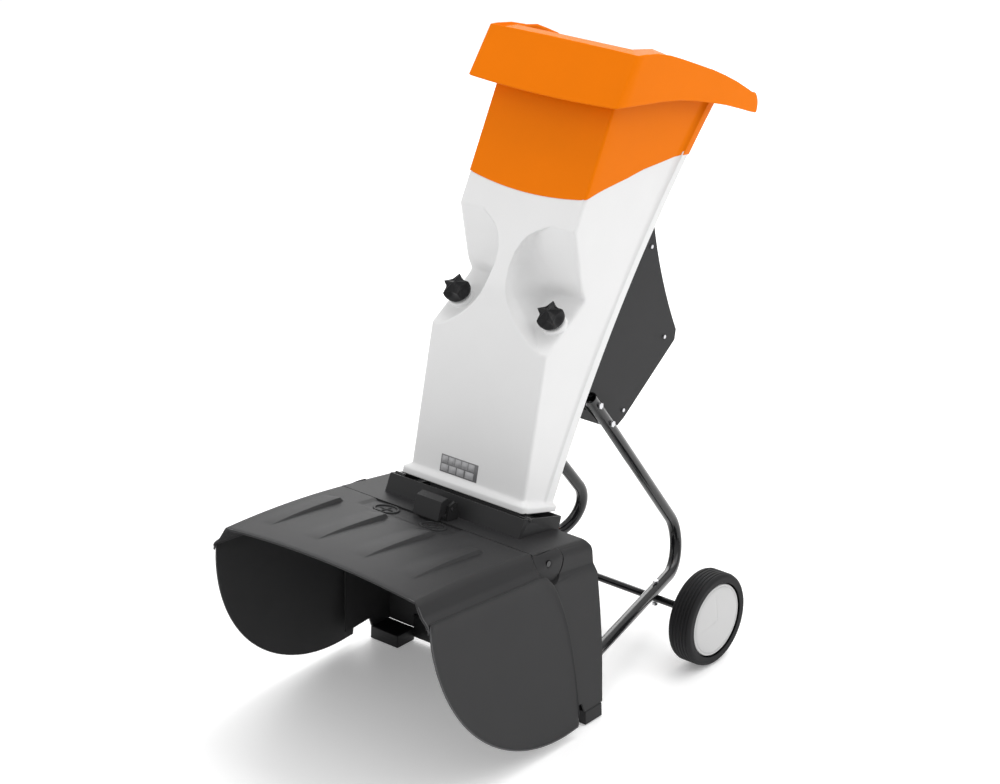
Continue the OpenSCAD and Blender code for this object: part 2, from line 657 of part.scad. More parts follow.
module feed_duct() {
    color(charcoal) difference() {
        feed_duct_form(0, 0);
        feed_duct_form(3, 1);
    }
}
module rating_label() {
    color(steel) translate([-24, front_y(477) - 0.05, 477]) rotate([90 - front_lean, 0, 0])
        translate([-48, -18, 0]) cube([96, 36, 0.6]);
}
// The hopper: a straight duct that carries a drooping rim
rim_top = arc3([158, 1300], [368, 1232], [562, 1127], 10);
rim_low = arc3([548, 1094], [294, 1179], [98, 1208], 10);
function rim_outline() = concat([[98, 1209]], rim_top, [[570, 1112], [566, 1096]], rim_low);
function rim_inside() = concat(
    [[98 + wall * 1.3, 1206], [158 + wall, 1300 - wall * 1.4]],
    [for (i = [1:9]) rim_top[i] - [wall * 0.45, wall]],
    [[562, 1112], [560, 1090], [300, 1100], [98 + wall * 1.3, 1180]]);
function duct_outline(y_in) = concat(
    [[front_y(hopper_z) + y_in, hopper_z], [front_y(1310) + y_in, 1310], [rear_y(1250) - y_in, 1310]],
    rear_line(1250, hopper_rear_z, 6, -y_in));
// the mouth narrows from the rim's thin lip down to the duct
module mouth(t) {
    hull() {
        along_x(-rim_half_w + wall - t, rim_half_w - wall + t) polygon(concat([[163 - t, 1297 - t]],
            [for (i = [0:10]) rim_top[i] + [5.5 - 1.1 * i, 4]], [[557 + t, 1124 - t]]));
        along_x(-chute_half_w + wall - t, chute_half_w - wall + t)
            polygon([[176 - t, 1262 - t], [180, 1275], [440, 1110], [431 + t, 1101 - t]]);
    }
}
module hopper() {
    color(orange) difference() {
        union() {
            difference() {
                along_x(-rim_half_w, rim_half_w) polygon(rim_outline());
                difference() {
                    along_x(-rim_half_w + wall, rim_half_w - wall) polygon(rim_inside());
                    mouth(wall);
                }
            }
            intersection() {
                along_x(-chute_half_w, chute_half_w) polygon(duct_outline(0));
                along_x(-chute_half_w, chute_half_w) polygon(concat(
                    [[0, 1000], [160, 1300]], [for (i = [1:9]) rim_top[i]], [[562, 1000]]));
            }
        }
        mouth(0);
        along_x(-chute_half_w + wall, chute_half_w - wall) polygon(concat(
            [[front_y(1000) + wall, 1000], [front_y(1330) + wall, 1330], [rear_y(1250) - wall, 1330]],
            rear_line(1250, 1000, 6, -wall)));
    }
}

// ---- Locking knobs and their washers ----
module knob(side) {
    color(black) on_knob(side) {
        difference() {
            translate([0, 0, -17]) cylinder(r = 26, h = 30, $fn = fine);
            for (a = [0:60:300]) rotate([0, 0, a]) translate([30, 0, -8]) cylinder(r = 9, h = 40, $fn = mid);
        }
        translate([0, 0, 12]) cylinder(r = 15, h = 5, $fn = fine);
        translate([0, 0, -86]) cylinder(r = 4, h = 72, $fn = fine);
    }
}
module knob_left() { knob(-1); }
module knob_right() { knob(1); }
module knob_washer(side) {
    color(steel) on_knob(side) difference() {
        translate([0, 0, -20.5]) cylinder(r = 12, h = 3, $fn = fine);
        translate([0, 0, -23]) cylinder(r = 4.05, h = 8, $fn = fine);
    }
}
module knob_washer_left() { knob_washer(-1); }
module knob_washer_right() { knob_washer(1); }

discharge_box();
foot_left();
foot_right();
hinge_pins();
latch_bracket();
latch_pin();
latch_spring();
frame_tube_left();
frame_tube_right();
frame_bolts();
axle();
axle_bolts();
axle_clips();
base_plate();
knob_posts();
chute_pins();
motor_housing();
housing_screws();
motor_bracket_front();
motor_bracket_rear();
motor_stator();
bearing_front();
bearing_rear();
capacitor();
counter_knife();
counter_knife_screws();
switch_box();
power_inlet();
inlet_pins();
motor_shaft();
rotor_core();
cooling_fan();
blade_disc();
blades();
blade_screws();
disc_nut();
tyre_left();
rim_left();
hub_cap_left();
tyre_right();
rim_right();
hub_cap_right();
flap_shell();
latch();
chute_shell();
hopper();
feed_duct();
knob_boss_left();
knob_boss_right();
rating_label();
knob_left();
knob_right();
knob_washer_left();
knob_washer_right();
button_on();
button_off();
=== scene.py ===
"""Looks of the garden wood chipper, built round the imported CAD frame.

Lengths are in millimetres until a mesh is made. X runs across the machine, -Y to its front, Z up.
"""

import json
import math

import bmesh
import bpy
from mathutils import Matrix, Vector


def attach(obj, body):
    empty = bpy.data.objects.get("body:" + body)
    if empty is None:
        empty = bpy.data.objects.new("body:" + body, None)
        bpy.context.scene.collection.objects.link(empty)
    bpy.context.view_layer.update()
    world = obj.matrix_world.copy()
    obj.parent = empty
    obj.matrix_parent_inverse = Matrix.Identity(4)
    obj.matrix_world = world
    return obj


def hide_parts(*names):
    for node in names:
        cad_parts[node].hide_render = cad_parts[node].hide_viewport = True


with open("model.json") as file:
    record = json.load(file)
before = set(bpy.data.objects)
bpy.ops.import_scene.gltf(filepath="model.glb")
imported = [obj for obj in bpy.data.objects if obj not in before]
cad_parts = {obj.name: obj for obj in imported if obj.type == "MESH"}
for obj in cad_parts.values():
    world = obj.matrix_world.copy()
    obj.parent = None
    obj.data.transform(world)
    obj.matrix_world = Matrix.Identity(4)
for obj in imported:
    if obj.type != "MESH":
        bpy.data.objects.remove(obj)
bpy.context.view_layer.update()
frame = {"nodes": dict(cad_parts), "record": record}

MM = 0.001
CREASE = 0.35  # radians between two faces that count as a corner


# ---------------------------------------------------------------- helpers
def smooth(t):
    """An S-shaped step from 0 to 1."""
    t = min(1.0, max(0.0, t))
    return t * t * (3 - 2 * t)


def lerp(a, b, share):
    return a + (b - a) * share


def smin(a, b, k):
    """The smaller of a and b, rounded over about k."""
    h = min(1.0, max(0.0, 0.5 + 0.5 * (b - a) / k))
    return b + (a - b) * h - k * h * (1 - h)


def table(points, x):
    """Straight-line interpolation through (x, y) points, held level past either end."""
    if x <= points[0][0]:
        return points[0][1]
    for (x0, y0), (x1, y1) in zip(points, points[1:]):
        if x <= x1:
            return y0 + (y1 - y0) * (x - x0) / (x1 - x0)
    return points[-1][1]


def spread(a, b, n):
    """The n + 1 evenly spaced values from a to b."""
    return [a + (b - a) * i / n for i in range(n + 1)]


def add_object(name, mesh, body, slot_name, replaced=(), material=None):
    """Puts a mesh in the scene on a body; it has its slot's material unless another is given."""
    obj = bpy.data.objects.new(name, mesh)
    bpy.context.scene.collection.objects.link(obj)
    mesh.materials.clear()
    mesh.materials.append(material or MAT[slot_name])
    for poly in mesh.polygons:
        poly.use_smooth = True
    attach(obj, body)
    if replaced:
        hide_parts(*replaced)
    return obj


def grid_mesh(name, rows, closed=False, flip=False):
    """A mesh from rows of points; closed joins each row's end to its start."""
    verts = [tuple(c * MM for c in p) for row in rows for p in row]
    n = len(rows[0])
    faces = []
    for i in range(len(rows) - 1):
        for j in range(n if closed else n - 1):
            a, b = i * n + j, i * n + (j + 1) % n
            quad = (a, b, b + n, a + n)
            faces.append(quad[::-1] if flip else quad)
    mesh = bpy.data.meshes.new(name)
    mesh.from_pydata(verts, [], faces)
    bm = bmesh.new()
    bm.from_mesh(mesh)
    bmesh.ops.remove_doubles(bm, verts=bm.verts, dist=0.00001)
    bm.to_mesh(mesh)
    bm.free()
    return mesh


def mesh_from(bm, name):
    """The bmesh as a mesh, its faces all turned one way."""
    bmesh.ops.recalc_face_normals(bm, faces=bm.faces)
    mesh = bpy.data.meshes.new(name)
    bm.to_mesh(mesh)
    bm.free()
    return mesh


def poly_mesh(name, verts, faces):
    bm = bmesh.new()
    corners = [bm.verts.new([c * MM for c in v]) for v in verts]
    for face in faces:
        bm.faces.new([corners[i] for i in face])
    return mesh_from(bm, name)


def prism(name, outline, x0, x1):
    """An outline of (y, z) points extruded along X."""
    n = len(outline)
    verts = [(x0, y, z) for y, z in outline] + [(x1, y, z) for y, z in outline]
    faces = [list(range(n))[::-1], [n + i for i in range(n)]]
    faces += [[i, (i + 1) % n, n + (i + 1) % n, n + i] for i in range(n)]
    return poly_mesh(name, verts, faces)


def thicken(obj, depth):
    """Gives a sheet a wall that grows inwards from its outer face."""
    mod = obj.modifiers.new("Wall", "SOLIDIFY")
    mod.thickness = depth * MM
    mod.offset = -1.0
    mod.use_even_offset = False


def round_edges(obj, width):
    mod = obj.modifiers.new("Edges", "BEVEL")
    mod.width = width * MM
    mod.segments = 3
    mod.limit_method = "ANGLE"
    mod.angle_limit = math.radians(28)
    mod.harden_normals = False
    mod.use_clamp_overlap = True
    weighted = obj.modifiers.new("Normals", "WEIGHTED_NORMAL")
    weighted.keep_sharp = True


def refine(node, body, slot_name, width, wide=()):
    """A CAD node's shape as a clean mesh with rounded edges.

    wide holds (test, width) pairs: edges that pass a test are rounded more broadly.
    """
    mesh = frame["nodes"][node].data.copy()
    bm = bmesh.new()
    bm.from_mesh(mesh)
    bmesh.ops.remove_doubles(bm, verts=bm.verts, dist=0.00002)
    bmesh.ops.dissolve_limit(bm, angle_limit=math.radians(1.0), verts=bm.verts, edges=bm.edges)
    for test, reach in wide:
        corners = [e for e in bm.edges if e.is_manifold and e.calc_face_angle(0) > CREASE]
        edges = [e for e in corners if test(e, e.verts[0].co / MM, e.verts[1].co / MM)]
        if edges:
            bmesh.ops.bevel(
                bm, geom=edges, offset=reach * MM, segments=6, profile=0.5, affect="EDGES", clamp_overlap=True
            )
    bm.to_mesh(mesh)
    bm.free()
    round_edges(add_object(node + "_looks", mesh, body, slot_name, (node,)), width)


def revolve(name, profile, origin, axis, segments=72, shape=None):
    """Turns (r, h) points about axis through origin; shape(r, h, angle) may change r and h."""
    axis = Vector(axis).normalized()
    side = axis.orthogonal().normalized()
    other = axis.cross(side)
    rows = []
    for r, h in profile:
        row = []
        for i in range(segments):
            a = 2 * math.pi * i / segments
            rr, hh = shape(r, h, a) if shape else (r, h)
            row.append(Vector(origin) + axis * hh + (side * math.cos(a) + other * math.sin(a)) * rr)
        rows.append(row)
    return grid_mesh(name, rows, closed=True)


def filleted(points, radii, n=4):
    """A polyline whose inner corners are rounded by quadratic curves."""
    out = [points[0]]
    for before, at, after, r in zip(points, points[1:], points[2:], radii):
        b, p, a = Vector(before), Vector(at), Vector(after)
        r0, r1 = min(r, (b - p).length * 0.49), min(r, (a - p).length * 0.49)
        s, e = p + (b - p).normalized() * r0, p + (a - p).normalized() * r1
        for t in spread(0.0, 1.0, n):
            q = s * (1 - t) ** 2 + p * 2 * t * (1 - t) + e * t * t
            out.append(tuple(q))
    out.append(points[-1])
    return out


def cord(name, path, r, body, slot_name, material):
    """A thin round bead along a path of points."""
    rows = []
    for i, at in enumerate(path):
        at = Vector(at)
        after, before = Vector(path[min(i + 1, len(path) - 1)]), Vector(path[max(i - 1, 0)])
        ahead = (after - before).normalized()
        u = ahead.orthogonal().normalized() if i == 0 else (u - ahead * u.dot(ahead)).normalized()
        v = ahead.cross(u)
        turns = [k * math.pi / 4 for k in range(8)]
        rows.append([at + (u * math.cos(turn) + v * math.sin(turn)) * r for turn in turns])
    return add_object(name, grid_mesh(name, rows, closed=True), body, slot_name, material=material)


# ---------------------------------------------------------------- materials
ROUGH_SPAN = 0.06


def finish_of(name, color, rough, metal=0.0, grain=900.0, bump=0.05, tint=0.05, coat=0.0, gloss=0.22):
    """A moulded or metal surface: faint clouds in its colour, fine grain in its roughness and relief."""
    mat = bpy.data.materials.new(name)
    mat.use_nodes = True
    nodes, links = mat.node_tree.nodes, mat.node_tree.links
    bsdf = nodes["Principled BSDF"]
    bsdf.inputs["Metallic"].default_value = metal
    bsdf.inputs["Specular IOR Level"].default_value = gloss
    if coat:
        bsdf.inputs["Coat Weight"].default_value = coat
        bsdf.inputs["Coat Roughness"].default_value = 0.12
    coord = nodes.new("ShaderNodeTexCoord")
    cloud = nodes.new("ShaderNodeTexNoise")
    cloud.inputs["Scale"].default_value = 9.0
    cloud.inputs["Detail"].default_value = 4.0
    links.new(coord.outputs["Object"], cloud.inputs["Vector"])
    ramp = nodes.new("ShaderNodeValToRGB")
    low = [c * (1 - tint) for c in color]
    high = [min(1.0, c * (1 + tint)) for c in color]
    ramp.color_ramp.elements[0].position = 0.3
    ramp.color_ramp.elements[1].position = 0.7
    ramp.color_ramp.elements[0].color = (*low, 1)
    ramp.color_ramp.elements[1].color = (*high, 1)
    links.new(cloud.outputs["Fac"], ramp.inputs["Fac"])
    links.new(ramp.outputs["Color"], bsdf.inputs["Base Color"])
    fine = nodes.new("ShaderNodeTexNoise")
    fine.inputs["Scale"].default_value = grain
    fine.inputs["Detail"].default_value = 3.0
    links.new(coord.outputs["Object"], fine.inputs["Vector"])
    spread_node = nodes.new("ShaderNodeMapRange")
    spread_node.inputs["To Min"].default_value = max(0.02, rough - ROUGH_SPAN)
    spread_node.inputs["To Max"].default_value = rough + ROUGH_SPAN
    links.new(fine.outputs["Fac"], spread_node.inputs["Value"])
    links.new(spread_node.outputs["Result"], bsdf.inputs["Roughness"])
    bumps = nodes.new("ShaderNodeBump")
    bumps.inputs["Strength"].default_value = bump
    bumps.inputs["Distance"].default_value = 0.0004
    links.new(fine.outputs["Fac"], bumps.inputs["Height"])
    links.new(bumps.outputs["Normal"], bsdf.inputs["Normal"])
    return mat


FINISHES = {
    "charcoal_plastic": dict(color=(0.024, 0.024, 0.025), rough=0.52, grain=1500, bump=0.35, tint=0.05),
    "black_plastic": dict(color=(0.011, 0.011, 0.012), rough=0.42, grain=1200, bump=0.15),
    "tyre": dict(color=(0.012, 0.012, 0.013), rough=0.62, grain=800, bump=0.3),
    "cap_plastic": dict(color=(0.56, 0.56, 0.56), rough=0.4, grain=1200, bump=0.08, tint=0.02),
    "white_plastic": dict(color=(0.785, 0.785, 0.785), rough=0.36, grain=1400, bump=0.06, tint=0.01),
    "orange_plastic": dict(color=(0.83, 0.185, 0.0), rough=0.45, grain=1400, bump=0.06, tint=0.015, gloss=0.06),
    "fan_plastic": dict(color=(0.08, 0.08, 0.08), rough=0.5),
    "black_tube": dict(color=(0.008, 0.008, 0.009), rough=0.2, grain=300, bump=0.05, coat=0.5),
    "zinc_steel": dict(color=(0.62, 0.62, 0.64), rough=0.3, metal=1.0, grain=500, bump=0.1),
    "bearing_steel": dict(color=(0.55, 0.56, 0.58), rough=0.28, metal=1.0, grain=300, bump=0.1),
    "motor_iron": dict(color=(0.3, 0.29, 0.28), rough=0.5, metal=1.0, grain=250, bump=0.3),
    "cast_aluminium": dict(color=(0.6, 0.61, 0.62), rough=0.5, metal=1.0, grain=200, bump=0.4),
    "capacitor_can": dict(color=(0.6, 0.6, 0.6), rough=0.35, metal=1.0),
    "label_plate": dict(color=(0.2, 0.2, 0.205), rough=0.5, grain=700, bump=0.1),
    "start_green": dict(color=(0.02, 0.3, 0.06), rough=0.3),
    "stop_red": dict(color=(0.55, 0.02, 0.02), rough=0.3),
    # "edge" is charcoal about three times lighter than the flap's own: a painted highlight for the flap's rounded
    # front lip
    "edge": dict(color=(0.075, 0.075, 0.078), rough=0.45, grain=1500, bump=0.1),
    "plate_light": dict(color=(0.42, 0.42, 0.43), rough=0.5, grain=700, bump=0.1),
}
MAT = {name: finish_of(name, **look) for name, look in FINISHES.items()}

for entry in frame["record"]["subparts"]:
    node = frame["nodes"][entry["node"]]
    node.data.materials.clear()
    node.data.materials.append(MAT[entry["material_slot"]])


# ---------------------------------------------------------------- the chute's outline
KNEE_Y, KNEE_Z = -45.0, 847.0
FRONT_LEAN = math.radians(12.83)
LEAN, LEAN_TOP = math.tan(FRONT_LEAN), math.tan(math.radians(27.5))
HALF_W = 147.0
REAR_STRIP = 27.0  # width of the raised band along the chute's rear edge


def front_y(z):
    """The front wall: one lean below the knee, another above it."""
    low = KNEE_Y + (z - KNEE_Z) * LEAN
    high = KNEE_Y + (z - KNEE_Z) * LEAN_TOP
    return -smin(-low, -high, 3.0)


def rear_y(z):
    """The rear wall, an arc."""
    return 2453.2 - math.sqrt(2794.6**2 - (z + 830.1) ** 2)


SCOOP_LOW, SCOOP_TOP = 741.0, 969.0
# each recess's inner edge as (height, distance from the middle)
SCOOP_EDGE = [
    (720, 136), (741, 136), (750, 113), (760, 97), (770, 83), (790, 60), (805, 47), (822, 35), (840, 27), (857, 22),
    (884, 18), (910, 21), (932, 31), (945, 42), (955, 56), (963, 72), (969, 86), (985, 88),
]


def scoop_floor(z):
    """How far the recess's floor lies behind the front at height z."""
    rise = (SCOOP_TOP - z) * 0.70
    fall = (z - SCOOP_LOW) * 1.36
    return max(0.0, smin(rise, fall, 16.0)) if SCOOP_LOW < z < SCOOP_TOP else 0.0


def scoop_depth(x, z):
    """How far the recess is sunk into the front at (x, z)."""
    edge = table(SCOOP_EDGE, z)
    if x <= edge:
        return 0.0
    floor = scoop_floor(z)
    if floor <= 0:
        return 0.0
    s = min(1.0, (x - edge) / (162.0 - edge))
    low = 1 - smooth((z - 765) / 90)
    wall = (112.0 + 90.0 * low) * math.sqrt(1 - (1 - s) ** 2.2)
    return max(0.0, smin(floor, wall, 26.0 - 15.0 * low)) if wall > 0 else 0.0


def chute_half(zf, zr, half_w, out, band, flare, scoops):
    """Points of half a cross-section, from the middle of the front round to the rear edge.

    zf and zr are its heights at the front and rear, out is an even offset, band the rear strip's
    thickness and flare the spread of the foot.
    """
    points = []
    edge = table(SCOOP_EDGE, zf)
    columns = spread(0, edge, 10) + [edge + (140 - edge) * (i / 22) ** 1.25 for i in range(1, 23)]
    base = front_y(zf) - out - flare
    for x in columns:
        depth = scoop_depth(x, zf) if scoops else 0.0
        wider = x * (half_w + flare - 7) / 140.0 if x > 139 or flare else x
        points.append((wider, base + depth, zf))
    corner_y = base + (scoop_depth(147, zf) if scoops else 0.0)
    w = half_w + flare
    p0, p1, p2 = Vector(points[-1]), Vector((w, corner_y, zf)), Vector((w, corner_y + 7, zf))
    for t in (0.25, 0.5, 0.75, 1.0):
        points.append(tuple(p0 * (1 - t) ** 2 + p1 * 2 * t * (1 - t) + p2 * t * t))
    y1 = rear_y(zr) + out
    for share in spread(0.0, 1.0, 12)[1:]:
        y = corner_y + 7 + (y1 - REAR_STRIP - corner_y - 7) * share
        points.append((w, y, zf + (zr - zf) * max(0.0, (y - base) / (y1 - base))))
    for d, lift in ((2.0, 1.0), (4.0, 1.0), (REAR_STRIP - 2.5, 1.0), (REAR_STRIP - 0.7, 0.7), (REAR_STRIP, 0.0)):
        y = y1 - REAR_STRIP + d
        x = w + max(0.0, band - flare) * lift
        points.append((x, y, zf + (zr - zf) * (y - base) / (y1 - base)))
    points.append((w - 6, y1, zr))
    return points


def whole(half):
    """Both halves of a row, mirrored about the middle."""
    return [(-x, y, z) for x, y, z in reversed(half[1:])] + list(half)


# ---------------------------------------------------------------- white chute shell
def rear_level(z):
    """The height at the rear of the section that meets the front at height z."""
    return 436 + (z - 468) * (1052 - 436) / (1042 - 468)


rows = []
# front and rear heights of the sections: close together round the foot's flare and the recesses
levels = [
    (438, 410), (440, 411), (444, 414), (448, 417.5), (450, 419), (452, 421), (454, 422.5), (456, 424),
    (458.5, 426.5), (462, 430), (468, 436),
]
for low, high, steps in ((478, 728, 24), (732, 741, 3), (744, 966, 72), (969, 1042, 16)):
    levels += [(z, rear_level(z)) for z in spread(low, high, steps)]
for zf, zr in levels:
    lift = 12.5 * (1 - smooth((zf - 449) / 8.0))
    rows.append(whole(chute_half(zf, zr, HALF_W, 0.0, 3.0, lift, True)))
shell = add_object("chute_skin", grid_mesh("chute_skin", rows), "chute", "white_plastic", ("chute_shell",))
thicken(shell, 3.6)

back_rows = [[(x, rear_y(z) - 0.6, z) for x in spread(-143, 143, 12)] for z in spread(906, 1052, 12)]
back = add_object("chute_back", grid_mesh("chute_back", back_rows, flip=True), "chute", "white_plastic")
thicken(back, 3.5)

# ---------------------------------------------------------------- orange hopper
# the seam with the white shell along the side, as (depth, height)
SEAM_SIDE = [(47, 1029), (107, 1036), (185, 1041), (221, 1046), (271, 1046), (335, 1047), (390, 1040)]
duct_rows = []
SEAM_F, SEAM_R = 1029, 1040
DUCT_TOP_F, DUCT_TOP_R = 1262.0, 1150.0
LAP = 0.9  # how far the hopper stands out from the white shell
for share in [0, 0.004, 0.01] + spread(0.03, 1.0, 14):
    row = []
    for x, y, z in chute_half(SEAM_F, SEAM_R, HALF_W + LAP, LAP, 3.0, 0.0, False):
        if y < 60:
            low = SEAM_F - 13 * (1 - (x / HALF_W) ** 2) if x < 140 else SEAM_F
        else:
            low = table(SEAM_SIDE, y)
        depth = max(0.0, min(1.0, (y - front_y(SEAM_F)) / (rear_y(SEAM_R) - front_y(SEAM_F))))
        zz = lerp(low, lerp(DUCT_TOP_F, DUCT_TOP_R, depth), share)
        # a point keeps its share of the depth as the walls lean apart
        row.append((x, lerp(front_y(zz) - LAP, rear_y(zz) + LAP, depth), zz))
    duct_rows.append(whole(row))
duct = add_object("hopper_duct", grid_mesh("hopper_duct", duct_rows), "chute", "orange_plastic")
thicken(duct, 3.4)

# the rim: a drooping band round the mouth, rounded at its top and tip
# its upper and lower edges along the side, as (depth, height)
RIM_TOP = [
    (157.5, 1297.0), (180, 1294.6), (224, 1287), (265, 1274.5), (309, 1257), (368, 1232), (408, 1215),
    (447, 1196), (490, 1173), (529, 1149), (552, 1134),
]
RIM_LOW = [
    (92, 1208.5), (132, 1203), (182, 1196.5), (240, 1189), (294, 1179.5), (345, 1167), (399, 1150.5),
    (450, 1134), (500, 1115), (535, 1101), (552, 1095),
]
RIM_W = 187.0


def rim_row(f):
    """The band's outer face at share f of its height, from the middle of the front to that of the rear."""
    row = []
    side = [(lerp(low[0], top[0], f), lerp(low[1], top[1], f)) for low, top in zip(RIM_LOW, RIM_TOP)]
    y0, z0 = side[0]
    w = RIM_W - f
    bow = 5.5 * (1 - f) - 2.0 * f
    for x in spread(0, w - 6, 14):
        sag = 1 - (x / w) ** 2
        row.append((x, y0 - 3.0 * sag * (1 - f), z0 - bow * sag))
    for a in (22.5, 45, 67.5):
        r = math.radians(a)
        row.append((w - 6 + 6 * math.sin(r), y0 + 6 - 6 * math.cos(r), z0 - 0.15 * (6 - 6 * math.cos(r))))
    row += [(w, y, z) for y, z in side if y > y0 + 6]
    ty, tz = side[-1]
    tip = 17.0 * math.sin(math.pi * min(1.0, max(0.0, 0.18 + 0.72 * f))) ** 0.6
    for a in (15, 30, 45, 60, 75, 90):
        r = math.radians(a)
        row.append((w - 7 + 7 * math.cos(r), ty + tip * math.sin(r), tz))
    for x in reversed(spread(0, w - 8, 10)[:-1]):
        row.append((x, ty + tip, tz))
    return row


def inset(row, centre_y, inward, up):
    """The row moved inwards and up, towards the mouth's middle."""
    out = []
    for x, y, z in row:
        d = Vector((x, 0.55 * (y - centre_y)))
        d = d.normalized() if d.length > 1 else Vector((0, 0))
        out.append((x - inward * d.x * (1 if x > 1 else 0), y - inward * d.y, z + up))
    return out


mouth = []
for f in [0, 0.02] + spread(0.06, 0.94, 12) + [0.97, 1.0]:
    mouth.append(rim_row(f))
lip = mouth[-1]
for inward, up in ((0.8, 0.7), (2.0, 1.0), (3.4, 0.7), (4.4, -0.4), (5.2, -3.0), (6.5, -8.0)):
    mouth.append(inset(lip, 330, inward, up))


# height of the duct's inner edge by share of its depth
THROAT_TOP = [(0.0, 1296.0), (0.16, 1284.0), (0.37, 1252.0), (0.55, 1217.0), (0.72, 1184.0), (1.0, 1160.0)]


def throat(x_half, drop):
    """Inner mouth of the duct, matched point for point with the lip."""
    row = []
    for x, y, z in lip:
        s = min(1.0, max(0.0, (y - 157.5) / (569.0 - 157.5)))
        zz = table(THROAT_TOP, s) - drop
        row.append((min(x, x_half), lerp(front_y(zz) + 3.8, rear_y(zz) - 3.8, s), zz))
    return row


mouth += [throat(143.5, 0.0), throat(143.2, 4.0), throat(143.0, 40.0)]
rim_mesh = grid_mesh("hopper_rim", [whole(row) for row in mouth])
thicken(add_object("hopper_rim", rim_mesh, "chute", "orange_plastic", ("hopper",)), 2.6)

# ---------------------------------------------------------------- flap
HINGE = (-198.5, 382.0)
SLOPE = math.radians(4.54)
FRONT, SEAM, TOP = -369.0, -36.8, 24.7
RIBS = (-182.0, -61.0, 61.0, 182.0)


def from_flap(x, y, z):
    """A point given from the hinge line, along and square to the flap's slope."""
    return (
        x,
        HINGE[0] + y * math.cos(SLOPE) + z * math.sin(SLOPE),
        HINGE[1] - y * math.sin(SLOPE) + z * math.cos(SLOPE),
    )


def bulge(y):
    """The top's gentle arch from the seam to the front."""
    reach = min(1.0, max(0.0, (SEAM - y) / (SEAM - FRONT)))
    return 24.0 * reach * (1 - reach)


def flap_height(x, y):
    """Height of the flap's top over its flat plane: crown, wedges and the pad for the two marks."""
    reach = (SEAM - y) / (SEAM - FRONT)
    h = 13.0 * smooth(reach) * max(0.0, 1 - (x / 240.0) ** 2) + bulge(y)
    for rib in RIBS:
        along = -(y + 104.0) / 200.0
        if 0 <= along <= 1 and rib - 52 < x <= rib + 1.5:
            ramp = smooth((x - rib + 52) / 50.0) if x <= rib else max(0.0, 1 - (x - rib) / 1.5)
            h += 8.5 * ramp * (1 - along) ** 0.7 * smooth(along / 0.03)
    if -158 < x < 78:
        pad = smooth((x + 158) / 10) * smooth((78 - x) / 10) * smooth((y + 92) / 8)
        h -= 3.4 * pad
    return h


xs = set(spread(0, 246, 30))
for rib in (61.0, 182.0):
    xs |= {rib, rib + 1.5, rib + 4, rib - 52, rib - 47}
xs |= {68, 78, 148, 158, 59.5, 180.5}
half_x = sorted(xs)
top_x = [-x for x in reversed(half_x[1:])] + half_x
side_profile = filleted([
    (246, TOP), (258.5, 4.0), (262.3, -2.0), (271.0, -9.5), (277.0, -15.0), (278.4, -30.0),
], [12, 5, 7, 5])
flap_rows = []
flap_ys = [SEAM, SEAM - 1.5, -42, -50, -62, -76, -84, -92, -98, -104, -107, -112] + spread(-120, -300, 15)
flap_ys += [-304, -312] + spread(-325, FRONT + 3, 4) + [FRONT + 1, FRONT]
for y in flap_ys:
    droop = 1.6 if y == FRONT else (0.7 if y == FRONT + 1 else 0.0)
    row = [from_flap(x, y, TOP + flap_height(x, y) - droop) for x in top_x[1:-1]]
    right = []
    for x, z in side_profile[:-1]:
        lifted = z - droop * 0.5 + bulge(y) * max(0.0, z + 2) / (TOP + 2)
        right.append(from_flap(x - (0.4 if droop else 0.0), y, lifted))
    left = [(-x, yy, zz) for x, yy, zz in reversed(right)]
    flap_rows.append(left + row + right)
flap_mesh = grid_mesh("flap_top", flap_rows, flip=True)
thicken(add_object("flap_top", flap_mesh, "flap", "charcoal_plastic", ("flap_shell",)), 3.2)

FLAP_R = 363.0
PANEL_LEAN = 0.085  # how much the side panels spread per millimetre of drop
# the side panels' rear edge, as (y, z)
REAR_EDGE = [
    (-44, -12), (-24, -17), (-6, -33), (6, -50), (18, -74), (33, -109), (43, -140), (51, -169),
    (58, -203), (63, -234), (68, -266), (72, -294), (74, -325),
]


def panel_bottom(y):
    y = min(74.5, y)
    return -math.sqrt(max(0.0, FLAP_R**2 - y * y)) if y > -FLAP_R + 1 else -15.0


def panel_top(y):
    if y <= REAR_EDGE[0][0]:
        return -12.0
    return table(REAR_EDGE, y)


panel_rows = []
for y in spread(-362.2, -330, 6) + spread(-322, -60, 22) + spread(-52, 74.4, 26):
    z_low, z_top = panel_bottom(y), panel_top(y)
    row = []
    height = z_top - z_low
    for share in [0, 0.004, 0.012, 0.025] + spread(0.05, 0.93, 12) + [0.955, 0.975, 0.99, 1.0]:
        z = z_top + (z_low - z_top) * share
        edge = min(z_top - z, z - z_low)
        bead = 1.5 * (1 - smooth((z_top - z - 9.0) / 5.0)) if height > 30 else 0.0
        inward = 1.6 * (1 - smooth(edge / 2.5))
        row.append((275.5 + bead - z * PANEL_LEAN - inward * 0.5, y, z))
    panel_rows.append(row)
for side, name in ((1, "flap_panel_right"), (-1, "flap_panel_left")):
    rows = [[from_flap(x * side, y, z) for x, y, z in row] for row in panel_rows]
    panel = add_object(name, grid_mesh(name, rows, flip=side < 0), "flap", "charcoal_plastic")
    thicken(panel, 3.2)


# a thin bead follows the flap's front edge and the rims of its side panels; it is a real rounded lip, but its
# lighter "edge" charcoal is a painted highlight
BEAD_Y = FRONT + 3.2
half_edge = [from_flap(x, BEAD_Y, TOP + flap_height(x, FRONT) - 1.4) for x in [0] + spread(20, 244, 12)]
half_edge += [from_flap(x - 0.8, BEAD_Y, z - 0.8) for x, z in side_profile[1:]]
for y in spread(-362.4, -340, 8) + spread(-336, -200, 16) + spread(-190, 70, 16):
    half_edge.append(from_flap(275.0 - panel_bottom(y) * PANEL_LEAN, y + 1.6, panel_bottom(y) + 0.8))
cord("flap_edge_painted_highlight", whole(half_edge), 1.7, "flap", "charcoal_plastic", MAT["edge"])

